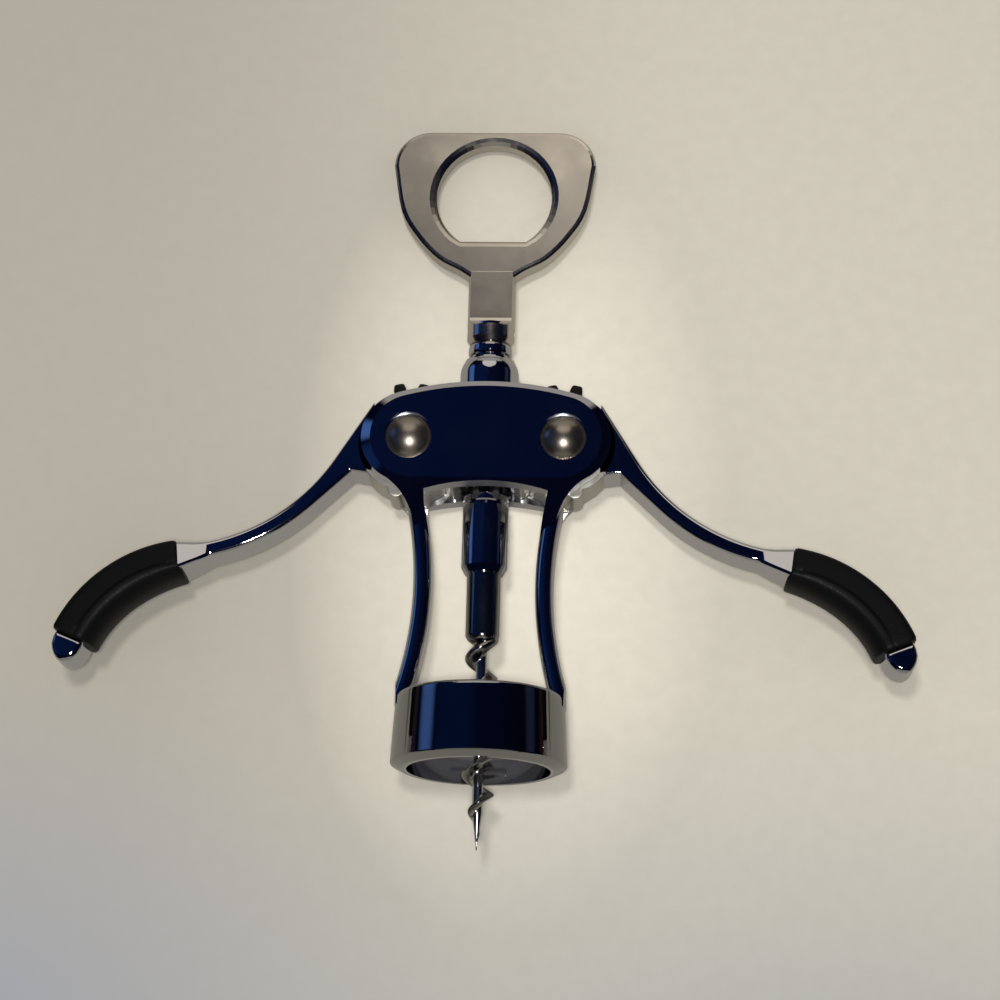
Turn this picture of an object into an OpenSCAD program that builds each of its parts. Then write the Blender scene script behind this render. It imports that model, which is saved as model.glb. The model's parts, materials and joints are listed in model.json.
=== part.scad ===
/*
  Wing corkscrew: a bell that sits on the bottle, two legs, a twin-plate head with two geared levers,
  and a screw spindle with an annular rack and a key handle.
  Millimetres. +X right, +Y along the screw axis towards the key, +Z out of the front plate.
  The origin is the centre of the bell's mouth. Everything is drawn as it lies in its rest position.
*/

/* [Bell] */
// Outer diameter of the bell at its mouth
bell_mouth_d = 38; // [37:0.5:46]
// Outer diameter of the bell at its shoulder
bell_top_d = 36.4; // [35:0.2:44]
// Height of the bell from mouth to shoulder
bell_h = 16.1; // [12.5:0.1:20]
// Bore that drops over the lip of the bottle
bell_bore_d = 31; // [26:0.5:32]
// Thickness of the web that closes the bell's top
bell_web = 2.6; // [2:0.2:4]
// Height that the bevel round the mouth starts at
mouth_bevel_h = 3.2; // [2:0.1:4]
// Lean of that bevel, away from the wall
mouth_bevel_angle = 42; // [30:1:50]
// Rounding between the wall and that bevel
mouth_round = 1.6; // [0.5:0.1:2.6]
// Rounding of the shoulder
shoulder_round = 0.9; // [0.5:0.1:2.4]

/* [Liner] */
// Thickness of the guide disc in the bell
liner_t = 2.2; // [1.5:0.1:3.5]
// Diameter of the guide hole that the screw runs in
guide_hole_d = 8.2; // [8:0.1:9]
// Diameter of the raised lip round the guide hole
guide_lip_d = 12; // [10.5:0.5:14]
// Height of the raised lip
guide_lip_h = 1.2; // [0.6:0.1:2]

/* [Legs] */
// Width of a leg seen from the front
leg_w = 3.9; // [3:0.1:5]
// Depth of a leg from front to back
leg_depth = 9; // [7:0.5:10]
// Distance of a leg's middle from the screw axis at its waist
waist_x = 13.3; // [12:0.1:14.5]
// Radius that a leg is bowed to
leg_sweep_r = 82; // [75:1:110]

/* [Head] */
// Height of the lever pivots above the mouth
pivot_y = 72.4; // [60:0.5:90]
// Front to back depth over the two plates
head_depth = 19.6; // [17:0.2:24]
// Gap between the two plates
plate_gap = 10.6; // [10.4:0.1:12]
// Radius of the plates' round sides
head_side_r = 10.5; // [9.5:0.1:12]
// Radius of the plates' crowned top edge
crown_r = 70; // [50:1:120]
// Width of the bevel round the sides of a plate
side_bevel = 2.1; // [1.2:0.1:3]
// Depth of the bevel round the sides of a plate
bevel_depth = 1.2; // [0.6:0.1:2]
// Sideways step of the plates' flat face, which makes the bevel widest at the sides
bevel_shift = 1.1; // [0:0.1:1.5]
// Height of the arch between the legs, below the pivots
arch_drop = 10.1; // [9:0.1:11]
// Radius of that arch
arch_r = 52.6; // [45:1:80]
// Fillet between a leg's outer edge and the head
leg_fillet_r = 14; // [11:0.5:16]

/* [Gears] */
// Teeth that a full turn of the gear would have
gear_teeth = 15; // [14:1:16]
// Gear module, which is pitch diameter over teeth
gear_module = 1.747; // [1.6:0.01:1.9]
// Pressure angle of gear and rack
pressure_angle = 20; // [18:1:22]
// Radius of the rack's pitch line
rack_pitch_r = 3.9; // [3.8:0.05:4.2]
// Height of a rack tooth above its pitch line
rack_addendum = 1.1; // [0.9:0.05:1.2]
// Height of a gear tooth above its pitch circle
gear_addendum = 0.8; // [0.7:0.05:1.05]
// Height of the eased corners at the tip of a gear tooth
tip_ease = 0.5; // [0.1:0.05:0.6]
// Gap between tooth tips and the roots they enter
tip_clearance = 0.15; // [0.1:0.05:0.3]
// Play of one flank of the mesh
flank_play = 0.08; // [0.05:0.01:0.15]
// Turn of the tooth next above the pivot line at rest
mesh_phase = 6; // [5:0.5:7]
// Teeth above and below that one
teeth_above = 4; // [3:1:4]
teeth_below = 2; // [2:1:2]

/* [Levers] */
// Thickness of the levers between the plates
lever_t = 10; // [9:0.1:10.2]
// Width of a lever's arm seen from the front
arm_w = 3.4; // [3:0.1:4.4]
// Length of the arm's straight root edge
root_len = 16; // [15:0.5:18]
// Angle below the horizontal that the arm leaves its root at
root_angle = 58; // [54:1:62]
// Radius of the arm's long inward curve
arm_r = 43; // [38:1:52]
// Angle below the horizontal that the grip starts at
grip_angle = 8; // [4:1:12]
// Radius of the grip's back
grip_r = 33; // [30:1:38]
// Turn of the grip from its start to its end
grip_turn = 60; // [50:1:66]
// Width of the grip seen from the front, belly included
grip_w = 9.6; // [8:0.1:10.4]
// Width of the grip's flat sides
grip_side = 5.4; // [4.5:0.1:6.5]
// Depth of the grip from front to back
grip_depth = 13; // [12:0.2:15]
// Height that the rubber stands proud of the arm
rubber_t = 1.2; // [0.8:0.1:1.6]
// Depth of the metal tang inside the grip
tang_depth = 8.4; // [6:0.2:9]
// Depth of the metal tip past the grip
tip_depth = 10.4; // [9:0.2:12]
// Radius of the lug that shows below the hub
lug_r = 1.8; // [1.5:0.1:2.2]
// Distance of the lug's tip from the pivot
lug_reach = 13; // [12.4:0.1:13.6]
// Radius of the hub's smooth blank between the teeth and the lug
blank_r = 12.8; // [12:0.1:13.2]
// Angle that the blank starts at
blank_start = 253; // [250:1:262]
// Depth that the arm's end flares by to meet the grip, front and back
flare_depth = 1.3; // [0.2:0.1:1.4]

/* [Rivets] */
// Shank diameter of the pivot rivets
rivet_d = 6; // [5:0.1:7]
// Diameter of the domed heads
dome_d = 10; // [8.4:0.1:10.2]
// Height of the domed heads
dome_h = 2.6; // [1.5:0.1:3]
// Diameter of the recess that a dome sits in
recess_d = 10.8; // [10.4:0.1:11.4]
// Depth of that recess
recess_h = 0.8; // [0.4:0.1:1.2]
// Diameter of the post that closes the tubular half
post_d = 3.6; // [3:0.1:4]

/* [Neck bush] */
// Height of the bush above the head
bush_h = 8; // [6:0.2:10]
// Diameter of the bush at its foot
bush_d = 13.4; // [12.8:0.1:15]
// Diameter of the bush below its rounded top
bush_top_d = 12.4; // [11.8:0.1:12.8]
// Wall of the bush's spigot in the head
spigot_wall = 0.65; // [0.5:0.05:1]

/* [Spindle] */
// Diameter of the plain lower end of the rack rod
collar_d = 10.1; // [10:0.05:10.3]
// Length of that plain end
collar_len = 14.2; // [12:0.2:20]
// Chamfer at its lower end
collar_chamfer = 1.5; // [0.5:0.1:2]
// Diameter of the rod's spigot in the key
spigot_d = 7; // [6:0.1:7.4]
// Diameter of the ring bead under the key
ring_d = 9.7; // [9:0.1:9.8]
// Height of the ring bead
ring_h = 2.8; // [2:0.1:4]
// Gap between bush and ring at rest
ring_gap = 1; // [0.6:0.1:14]

/* [Screw] */
// Diameter of the screw's plain shank
shank_d = 7.4; // [6.8:0.1:8]
// Length of shank that shows below the rod
shank_len = 15.5; // [12:0.5:20]
// Outer diameter of the helical flight
flight_d = 7.2; // [6:0.1:7.9]
// Diameter of the screw's core
core_d = 2.3; // [2:0.1:3]
// Rise of the flight in one turn
flight_pitch = 8.5; // [7:0.5:10]
// Turn of the flight about the screw axis
flight_phase = 222; // [0:2:358]
// Length of the flight
flight_len = 39; // [30:1:48]
// Length of the bare pointed core below the flight
point_len = 5.9; // [4:0.1:8]

/* [Key] */
// Width of the key plate
key_w = 46.6; // [42:0.2:54]
// Height of the key above the stem's lower end
key_h = 52.2; // [46:0.2:62]
// Thickness of the key plate
key_t = 4.8; // [4:0.1:6]
// Diameter of the key's stem
stem_d = 10.6; // [10.4:0.05:11]
// Radius of the plate's top corners
key_corner_r = 8.5; // [6:0.5:12]
// Diameter of the finger hole
key_hole_d = 26; // [22:0.2:28]
// Distance of the hole's centre below the plate's top
key_hole_drop = 16.4; // [15.5:0.1:20]
// Rounding of the key's edges
key_round = 1.1; // [0.5:0.1:1.5]
// Rounding of the finger hole's edges
hole_round = 1.9; // [0.5:0.1:2.1]
// Height above the stem's lower end that the flats run out at
flat_start = 6; // [5:0.5:14]

/* [Hidden] */

running_play = 0.05;   // radial play of a turning or sliding fit
lever_play = 0.1;      // radial play of a lever on its rivet
eps = 0.01;

chrome = [0.30, 0.33, 0.42];
satin = [0.66, 0.63, 0.58];
steel = [0.72, 0.73, 0.74];
rubber = [0.06, 0.06, 0.065];
plastic = [0.45, 0.45, 0.46];

// Bell and liner
bell_r = bell_mouth_d / 2;
bore_r = bell_bore_d / 2;
liner_top = bell_h - bell_web;
web_hole_r = guide_lip_d / 2 + 1.5;

// Gear and rack
gear_r = gear_module * gear_teeth / 2;
tooth_step = 360 / gear_teeth;
rack_pitch = PI * gear_module;
rack_r = rack_pitch_r + rack_addendum;
rack_root_r = rack_pitch_r - gear_addendum - tip_clearance;
gear_tip_r = gear_r + gear_addendum;
gear_root_r = gear_r - rack_addendum - tip_clearance * 3;
pivot_x = gear_r + rack_pitch_r;
swing_r = gear_tip_r + 0.8;
// Height on the rack of the groove that gear tooth i stands in at rest
function groove_y(i) = pivot_y + gear_r * (mesh_phase + i * tooth_step) * PI / 180;

// Head
blend = 0.003;         // how far tangent arcs cross, so that each pair meets in one clean point
web_sink = 0.03;       // how far the head's web stands back from the legs' inner faces
half_depth = head_depth / 2;
half_gap = plate_gap / 2;
bevel_run = side_bevel / bevel_depth;
crown_y = pivot_y - sqrt(pow(crown_r - head_side_r, 2) - pow(pivot_x, 2)) - blend;
head_top = crown_y + crown_r;
face_x = pivot_x - bevel_shift;
face_r = head_side_r + bevel_shift - side_bevel;
face_crown_r = crown_r - 1;
face_crown_y = pivot_y - sqrt(pow(face_crown_r - face_r, 2) - pow(face_x, 2)) - blend;
face_low = pivot_y - face_r;
arch_top = pivot_y - arch_drop;
plate_foot = face_low - (half_depth - leg_depth * 0.27) * bevel_run;

// Legs
leg_cx = waist_x + leg_sweep_r;
waist_y = (bell_h + pivot_y) / 2 - 4;
leg_out_x = waist_x + leg_w / 2;
fillet_x = leg_out_x + leg_fillet_r;
fillet_y = pivot_y - sqrt(pow(head_side_r + leg_fillet_r, 2) - pow(fillet_x - pivot_x, 2));
web_half = pivot_x + (fillet_x - pivot_x) * head_side_r / (head_side_r + leg_fillet_r);

// Neck
stem_r = stem_d / 2;
bush_bore_r = stem_r + running_play;
bush_spigot_r = bush_bore_r + spigot_wall;
bush_lip_r = bush_spigot_r + 0.4;
neck_bore_r = bush_spigot_r + running_play;
block_foot = pivot_y + sqrt(pow(swing_r, 2) - pow(pivot_x - bush_lip_r, 2)) + 0.15;
bush_seat = head_top - 0.35;
bush_top = bush_seat + bush_h;

// Spindle, from the key's stem down to the point
ring_y = bush_top + ring_gap;
stem_end = ring_y + ring_h + 0.2;
rod_top = ring_y - 0.7;
collar_top = groove_y(-teeth_below) - groove_half(rack_r) - 1.75;
collar_low = collar_top - collar_len;
rod_low = collar_low - collar_chamfer;
shank_low = rod_low - shank_len;
flight_low = shank_low - flight_len;
point_y = flight_low - point_len;
key_top = stem_end + key_h;
hole_y = key_top - key_hole_drop;
shank_depth = collar_len - 2;
worm_pin_y = collar_low + collar_len * 0.4;
key_pin_y = stem_end + 3;
spigot_len = flat_start - 1;
pin_r = 1;
hole_flat_drop = 10.6; // the finger hole's flat lower edge, below the hole's centre

// Lever: the outer edge runs straight, then bends in round arm_c, and the grip bends out round grip_c
lug_angle = -76;
corner_w = 4.9;        // width of the arm where it leaves the fan
fan_foot = [pivot_x + 6, pivot_y - 7.8];
root_start = [pivot_x + 8.3, pivot_y + 9.4];
arm_start = root_start + root_len * heading(-root_angle);
arm_c = arm_start + arm_r * heading(90 - root_angle);
arm_end = arm_c + arm_r * heading(-90 - grip_angle);
grip_start = arm_end + 3 * heading(-grip_angle) + rubber_t * heading(90 - grip_angle);
grip_c = grip_start - grip_r * heading(90 - grip_angle);
grip_end_angle = -grip_angle - grip_turn;
tang_r = grip_r - rubber_t;
tang_w = arm_w + 0.4;

function heading(a) = [cos(a), sin(a)];
function inward(a) = [sin(a), -cos(a)];
function at(p, z) = [p[0], p[1], z];
function mix(a, b, t) = a + (b - a) * t;
// Points on an arc about c
function arc(c, r, a0, a1, n) = [for (i = [0:n]) c + r * heading(mix(a0, a1, i / n))];
// Half width of a rack groove at radius r
function groove_half(r) = rack_pitch / 4 + flank_play + (r - rack_pitch_r) * tan(pressure_angle);
// Involute function in degrees, and half the angle that a gear tooth takes at radius r
function inv(a) = tan(a) * 180 / PI - a;
function tooth_half(r) = let (base = gear_r * cos(pressure_angle))
    90 / gear_teeth - flank_play / gear_r * 180 / PI + inv(pressure_angle) - inv(acos(base / max(r, base)));
// A smooth curve through every point of a list, n steps from each to the next
function curve(p, n) = let (last = len(p) - 1) [
    for (i = [0:last - 1]) for (k = [0:n - 1])
        let (a = p[max(i - 1, 0)], b = p[i], c = p[i + 1], d = p[min(i + 2, last)], t = k / n)
        0.5 * (2 * b + (c - a) * t + (2 * a - 5 * b + 4 * c - d) * t * t + (3 * b - a - 3 * c + d) * t * t * t),
    p[last]
];

// Turns a shape drawn along +Z so that it lies along the screw axis
module along_axis() rotate([-90, 0, 0]) children();

module mirrored() {
    children();
    mirror([1, 0, 0]) children();
}

module front_and_back() {
    children();
    mirror([0, 0, 1]) children();
}

// A solid through a list of rings, each with as many points, counter-clockwise seen from the last ring
module loft(rings) {
    n = len(rings[0]);
    last = len(rings) - 1;
    middle = [for (r = [rings[0], rings[last]]) [for (i = [0:2]) sum_of(r, i) / n]];
    points = concat([for (r = rings) each r], middle);
    sides = [
        for (j = [0:last - 1]) for (i = [0:n - 1])
            let (a = j * n + i, b = j * n + (i + 1) % n)
            each [[a, a + n, b + n], [a, b + n, b]]
    ];
    low = n * (last + 1);
    caps = [
        for (i = [0:n - 1])
            let (k = (i + 1) % n)
            each [[low, i, k], [low + 1, last * n + k, last * n + i]]
    ];
    polyhedron(points = points, faces = concat(sides, caps));
}

function sum_of(r, i, k = 0) = k == len(r) ? 0 : r[k][i] + sum_of(r, i, k + 1);

// An outline moved inwards by d along the normals of its corners
function inset(p, d) = let (n = len(p)) [
    for (i = [0:n - 1])
        let (t = p[(i + 1) % n] - p[(i + n - 1) % n])
        p[i] + d * [-t[1], t[0]] / norm(t)
];

// A flat slab of half thickness h with edges rounded to r, or flared to it where r is negative
module soft_slab(outline, h, r) {
    e = abs(r);
    s = sign(r);
    loft([
        for (k = [-3:3])
            let (a = 30 * abs(k), z = sign(k) * (h - e + e * sin(a)), d = s * e * (1 - cos(a)))
            if (k != 0) [for (q = inset(outline, d)) at(q, z)]
    ]);
}

// Bell, legs and the two plates of the head, cast in one

module bell_profile() {
    top_r = bell_top_d / 2;
    bevel = arc([bell_r - mouth_round, mouth_bevel_h], mouth_round, -mouth_bevel_angle, 0, 6);
    rim_r = bevel[0][0] - bevel[0][1] * tan(mouth_bevel_angle);
    difference() {
        polygon(concat(
            [[bore_r, 0], [rim_r, 0]],
            bevel,
            [[top_r, bell_h], [web_hole_r, bell_h], [web_hole_r, liner_top], [bore_r, liner_top]]
        ));
        corner_cut([top_r, bell_h], shoulder_round, [-1, -1]);
    }
}

// What is taken off a corner at p to round it, with the solid in direction d
module corner_cut(p, r, d) {
    difference() {
        translate(p) square([2 * r, 2 * r], center = true);
        translate([p[0] + d[0] * r, p[1] + d[1] * r]) circle(r = r, $fn = 48);
        translate([p[0] + d[0] * r * 1.5, p[1]]) square([r, 4 * r], center = true);
        translate([p[0], p[1] + d[1] * r * 1.5]) square([4 * r, r], center = true);
    }
}

module legs() {
    up = asin((arch_top - waist_y) / leg_sweep_r);
    down = asin((waist_y - liner_top) / leg_sweep_r);
    straight = leg_depth - leg_w;
    difference() {
        mirrored()
            translate([leg_cx, waist_y])
                rotate(180 - up)
                    rotate_extrude(angle = up + down, $fn = 200)
                        translate([leg_sweep_r, 0]) {
                            square([leg_w, straight], center = true);
                            for (s = [-1, 1])
                                translate([0, s * straight / 2]) circle(d = leg_w, $fn = 32);
                        }
        // the feet end on the bell's shoulder
        along_axis() difference() {
            cylinder(r = bell_r + 5, h = bell_h + 3, $fn = 96);
            cylinder(r = bell_top_d / 2 + 0.3, h = bell_h + 3, $fn = 96);
        }
    }
}

// Window between the legs, up to the arch under the plates
module window() {
    intersection() {
        difference() {
            translate([-waist_x, 0]) square([2 * waist_x + leg_w, arch_top]);
            mirrored() translate([leg_cx, waist_y]) circle(r = leg_sweep_r + leg_w / 2 - web_sink, $fn = 256);
        }
        translate([0, arch_top - arch_r]) circle(r = arch_r, $fn = 256);
    }
}

module head_outline() {
    mirrored() translate([pivot_x, pivot_y]) circle(r = head_side_r, $fn = 96);
    intersection() {
        translate([0, crown_y]) circle(r = crown_r, $fn = 256);
        wedge(pivot_x, crown_y);
    }
    difference() {
        translate([-web_half, plate_foot]) square([2 * web_half, pivot_y - plate_foot]);
        window();
        mirrored() translate([fillet_x, fillet_y]) circle(r = leg_fillet_r + blend, $fn = 128);
    }
}

// Sector above the pivots, between the lines from the crown's centre through x
module wedge(x, y) {
    far = 1.3;
    polygon([
        [-x, pivot_y], [x, pivot_y],
        [x * far, y + (pivot_y - y) * far], [-x * far, y + (pivot_y - y) * far]
    ]);
}

// Everything under the plates' bevelled faces, from the middle to the front
module under_bevel() {
    grow = half_depth * bevel_run;
    mirrored()
        translate([face_x, pivot_y])
            cylinder(r1 = face_r + grow, r2 = face_r, h = half_depth, $fn = 96);
    intersection() {
        translate([0, face_crown_y])
            cylinder(r1 = face_crown_r + grow, r2 = face_crown_r, h = half_depth, $fn = 256);
        linear_extrude(half_depth) wedge(face_x, face_crown_y);
    }
    rotate([90, 0, 90])
        linear_extrude(2 * face_x, center = true)
            polygon([[face_low - grow, 0], [pivot_y, 0], [pivot_y, half_depth], [face_low, half_depth]]);
}

// Room between the plates for the gears, with the neck block left standing
module gear_slot() {
    linear_extrude(plate_gap, center = true) {
        mirrored() translate([pivot_x, pivot_y]) circle(r = swing_r, $fn = 128);
        translate([-pivot_x, pivot_y - swing_r]) square([2 * pivot_x, block_foot - pivot_y + swing_r]);
    }
}

module frame() {
    color(chrome) {
        difference() {
            union() {
                along_axis() rotate_extrude($fn = 128) bell_profile();
                difference() {
                    union() {
                        legs();
                        intersection() {
                            linear_extrude(head_depth, center = true) head_outline();
                            front_and_back() under_bevel();
                        }
                    }
                    gear_slot();
                }
            }
            for (s = [-1, 1]) {
                translate([s * pivot_x, pivot_y, -half_depth - 1])
                    cylinder(d = rivet_d + 2 * running_play, h = head_depth + 2, $fn = 48);
                for (z = [-half_depth - 1, half_depth - recess_h])
                    translate([s * pivot_x, pivot_y, z]) cylinder(d = recess_d, h = recess_h + 1, $fn = 64);
            }
            translate([0, arch_top, 0]) along_axis() {
                cylinder(r = neck_bore_r, h = head_top + 1 - arch_top, $fn = 64);
            }
            translate([0, block_foot - 1.2, 0]) along_axis()
                cylinder(r = bush_lip_r + 0.25, h = 1.2, $fn = 64);
            translate([0, bush_seat - running_play, 0]) along_axis()
                cylinder(r = bush_d / 2 + 0.5, h = 4, $fn = 64);
        }
    }
}

// Grey guide disc pressed into the bell, with a boss in the web's hole and a lip round the guide hole
module bell_liner() {
    color(plastic)
        along_axis()
            rotate_extrude($fn = 96)
                polygon([
                    [guide_hole_d / 2, liner_top - liner_t - guide_lip_h + 0.4],
                    [guide_hole_d / 2 + 0.4, liner_top - liner_t - guide_lip_h],
                    [guide_lip_d / 2 - 0.4, liner_top - liner_t - guide_lip_h],
                    [guide_lip_d / 2, liner_top - liner_t - guide_lip_h + 0.4],
                    [guide_lip_d / 2, liner_top - liner_t],
                    [bore_r, liner_top - liner_t],
                    [bore_r, liner_top],
                    [web_hole_r, liner_top],
                    [web_hole_r, bell_h],
                    [guide_hole_d / 2, bell_h]
                ]);
}

// Turning bush that guides the stem, held in the head by a snap lip
module neck_bush() {
    foot_r = bush_d / 2;
    neck_r = bush_top_d / 2;
    lip_low = block_foot - 0.75;
    color(chrome)
        along_axis()
            rotate_extrude($fn = 96)
                polygon(concat(
                    [
                        [bush_bore_r, lip_low], [bush_spigot_r, lip_low],
                        [bush_lip_r, block_foot - 0.45], [bush_lip_r, block_foot - running_play],
                        [bush_spigot_r, block_foot - running_play], [bush_spigot_r, bush_seat],
                        [foot_r, bush_seat], [foot_r, bush_seat + 1.2], [neck_r, bush_top - 2]
                    ],
                    arc([neck_r - 0.6, bush_top - 0.6], 0.6, 0, 90, 6),
                    [[bush_bore_r, bush_top]]
                ));
}

// Levers

module gear_tooth() {
    steps = 6;
    base = gear_r * cos(pressure_angle);
    radii = concat([gear_root_r - 0.4], [for (i = [0:steps]) mix(base, gear_tip_r - tip_ease, i / steps)]);
    halves = [for (r = radii) tooth_half(r)];
    tip_half = tooth_half(gear_tip_r) * 0.35;
    all_r = concat(radii, gear_tip_r);
    all_half = concat(halves, tip_half);
    last = len(all_r) - 1;
    flank = [for (i = [0:last]) all_r[i] * heading(-all_half[i])];
    back = [for (i = [last:-1:0]) all_r[i] * heading(all_half[i])];
    polygon(concat(flank, back));
}

// Hub with its teeth, the lug below it and the smooth blank between them
module hub_plan() {
    translate([pivot_x, pivot_y]) {
        circle(r = gear_root_r, $fn = 96);
        for (i = [-teeth_below:teeth_above])
            rotate(180 - mesh_phase - i * tooth_step) gear_tooth();
        rotate(lug_angle) translate([lug_reach - lug_r, 0]) circle(r = lug_r, $fn = 32);
        intersection() {
            circle(r = blank_r, $fn = 96);
            polygon([[0, 0], 20 * heading(blank_start), 20 * heading(360 + lug_angle)]);
        }
    }
}

// Fan that the arm grows from, between the hub and the arm's straight root
module fan_plan() {
    corner = arm_start + corner_w * inward(-root_angle);
    polygon([[pivot_x, pivot_y], root_start, arm_start, corner, fan_foot]);
}

// Rounded rectangle ring at point p of the outer edge: a runs inwards, b from back to front
function arm_ring(p, a, w, h, r) = [
    for (c = [[h - r, w - r, 0], [r - h, w - r, 90], [r - h, r, 180], [h - r, r, 270]]) for (k = [0:3])
        let (q = c[2] + 30 * k)
        at(p + (c[1] + r * sin(q)) * inward(a), c[0] + r * cos(q))
];

// Share of the flare at a distance left to the grip
function flare(left) = pow(max(0, 1 - left / 7), 1.5);
// The arm's ring at point p of its outer edge, w wide before the flare
function flared_ring(p, a, w, left) = let (f = flare(left))
    arm_ring(p - (rubber_t - 0.2) * f * inward(a), a, w + 1.4 * f, lever_t / 2 + flare_depth * f, 0.9);
// Width of the arm s along its outer edge, from the root to the grip
function arm_width(s) = arm_w + 4.4 * pow(max(0, 1 - s / 14), 2);

module arm() {
    low = -root_angle;
    high = -grip_angle;
    bend = [for (k = [0:9]) mix(low, high, k / 9)];
    root_rings = [for (s = [10, 13]) arm_ring(root_start + s * heading(low), low, arm_width(s - 10), lever_t / 2, 0.9)];
    bend_rings = [
        for (a = bend)
            let (s = 6 + arm_r * (a - low) * PI / 180, left = 3 + arm_r * (high - a) * PI / 180)
            flared_ring(arm_c + arm_r * heading(a - 90), a, arm_width(s), left)
    ];
    end_rings = [
        for (left = [2, 1, 0]) flared_ring(arm_end + (3 - left) * heading(high), high, tang_w, left)
    ];
    loft(concat(root_rings, bend_rings, end_rings));
}

// Flat metal tang that carries the grip, from its start to its end
module tang(reach) {
    a0 = 90 - grip_angle + 1;
    a1 = a0 - 1 - grip_turn - reach;
    linear_extrude(tang_depth, center = true)
        intersection() {
            translate(grip_c)
                difference() {
                    circle(r = tang_r, $fn = 128);
                    circle(r = tang_r - tang_w, $fn = 128);
                }
            polygon(concat([grip_c], arc(grip_c, grip_r * 1.5, a1, a0, 4)));
        }
}

// Bright wedge that closes the grip's end
module lever_tip() {
    end = grip_c + grip_r * heading(grip_end_angle + 90);
    plan = [[0, 0.8], [0, 7.7], [2, 7.9], [4, 7.2], [5.6, 5.9], [5.8, 4.4], [4.7, 2.6], [3, 1.1]];
    outline = [for (q = plan) end + q[0] * heading(grip_end_angle) + q[1] * inward(grip_end_angle)];
    soft_slab(outline, tip_depth / 2, 0.7);
}

module right_lever_body() {
    difference() {
        union() {
            linear_extrude(lever_t, center = true) hub_plan();
            linear_extrude(lever_t, center = true) fan_plan();
            arm();
            tang(2);
            lever_tip();
        }
        translate([pivot_x, pivot_y, 0])
            cylinder(d = rivet_d + 2 * lever_play, h = lever_t + 2, center = true, $fn = 48);
    }
}

module right_lever() {
    color(chrome) right_lever_body();
}

module left_lever() {
    color(chrome) mirror([1, 0, 0]) right_lever_body();
}

// Rubber grip: flat back and sides, and a belly that is rounded from side to side
function grip_ring(a, shrink) = let (
    p = grip_c + grip_r * heading(a + 90),
    h = grip_depth / 2 - shrink,
    r = 1.8,
    back = [for (k = [0:3]) [h - r + r * cos(270 + 30 * k), shrink + r + r * sin(270 + 30 * k)]],
    belly = [for (k = [0:8]) [h * cos(22.5 * k), grip_side + (grip_w - grip_side - shrink) * sin(22.5 * k)]],
    front = [for (k = [0:3]) [r - h + r * cos(180 + 30 * k), shrink + r + r * sin(180 + 30 * k)]]
) [for (q = concat(back, belly, front)) at(p + q[1] * inward(a), q[0])];

module right_grip_body() {
    n = 10;
    first = -grip_angle;
    ease = 1.2 / grip_r * 180 / PI;
    difference() {
        loft(concat(
            [grip_ring(first, 0.5)],
            [for (k = [0:n]) grip_ring(mix(first - ease, grip_end_angle + ease, k / n), 0)],
            [grip_ring(grip_end_angle, 0.5)]
        ));
        tang(1);
    }
}

module right_grip() {
    color(rubber) right_grip_body();
}

module left_grip() {
    color(rubber) mirror([1, 0, 0]) right_grip_body();
}

// Pivot rivets: a tubular half from the front and a post from the back, each with a domed head

module rivet_dome() {
    ball_r = (pow(dome_d / 2, 2) + pow(dome_h, 2)) / (2 * dome_h);
    rotate_extrude($fn = 64)
        intersection() {
            translate([0, dome_h - ball_r]) circle(r = ball_r, $fn = 96);
            square([dome_d / 2, dome_h]);
        }
}

module rivet_tube(x) {
    seat = half_depth - recess_h;
    color(satin)
        translate([x, pivot_y, 0])
            difference() {
                union() {
                    translate([0, 0, seat]) rivet_dome();
                    translate([0, 0, -seat]) cylinder(d = rivet_d, h = 2 * seat + eps, $fn = 48);
                }
                translate([0, 0, -seat - 1]) cylinder(d = post_d, h = 2 * seat, $fn = 32);
            }
}

module rivet_post(x) {
    seat = half_depth - recess_h;
    color(satin)
        translate([x, pivot_y, -seat]) {
            mirror([0, 0, 1]) rivet_dome();
            translate([0, 0, -eps]) cylinder(d = post_d, h = 2 * seat - 3, $fn = 32);
        }
}

module left_rivet_tube() rivet_tube(-pivot_x);

module left_rivet_post() rivet_post(-pivot_x);

module right_rivet_tube() rivet_tube(pivot_x);

module right_rivet_post() rivet_post(pivot_x);

// Spindle: annular rack, screw, ring and key

// Rod turned with one groove for each gear tooth, a plain collar below and a spigot above
module rack_rod() {
    r = rack_r;
    root = rack_root_r;
    grooves = [
        for (i = [-teeth_below:teeth_above - 1])
            let (y = groove_y(i), a = groove_half(r), b = groove_half(root))
            each [[r, y - a], [root, y - b], [root, y + b], [r, y + a]]
    ];
    collar_r = collar_d / 2;
    color(chrome)
        difference() {
            along_axis()
                rotate_extrude($fn = 96)
                    polygon(concat(
                        [
                            [0, rod_low], [collar_r - 0.8, rod_low], [collar_r, collar_low],
                            [collar_r, collar_top - 0.5], [collar_r - 0.5, collar_top], [r, collar_top + 0.5]
                        ],
                        grooves,
                        [
                            [r, rod_top - 0.4], [r - 0.4, rod_top], [spigot_d / 2, rod_top],
                            [spigot_d / 2, stem_end + spigot_len], [0, stem_end + spigot_len]
                        ]
                    ));
            translate([0, rod_low - 1, 0]) along_axis()
                cylinder(d = shank_d, h = shank_depth + collar_chamfer + 1, $fn = 64);
            cross_pin(worm_pin_y, collar_d + 2);
            cross_pin(key_pin_y, collar_d + 2);
        }
}

module cross_pin(y, length) {
    translate([0, y, 0]) rotate([0, 90, 0]) cylinder(r = pin_r, h = length, center = true, $fn = 32);
}

// Radii of the core and of the flight's crest at height y: the flight runs out and the core tapers to the point
function flight_radii(y) = let (
    rise = min(1, max(0, (y - flight_low) / (flight_pitch * 0.9))),
    taper = min(1, max(0.12, (y - point_y) / (point_len + 2)))
) [core_d / 2 * taper, mix(core_d / 2, flight_d / 2, sin(90 * rise)) * min(1, taper * 1.4)];

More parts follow.
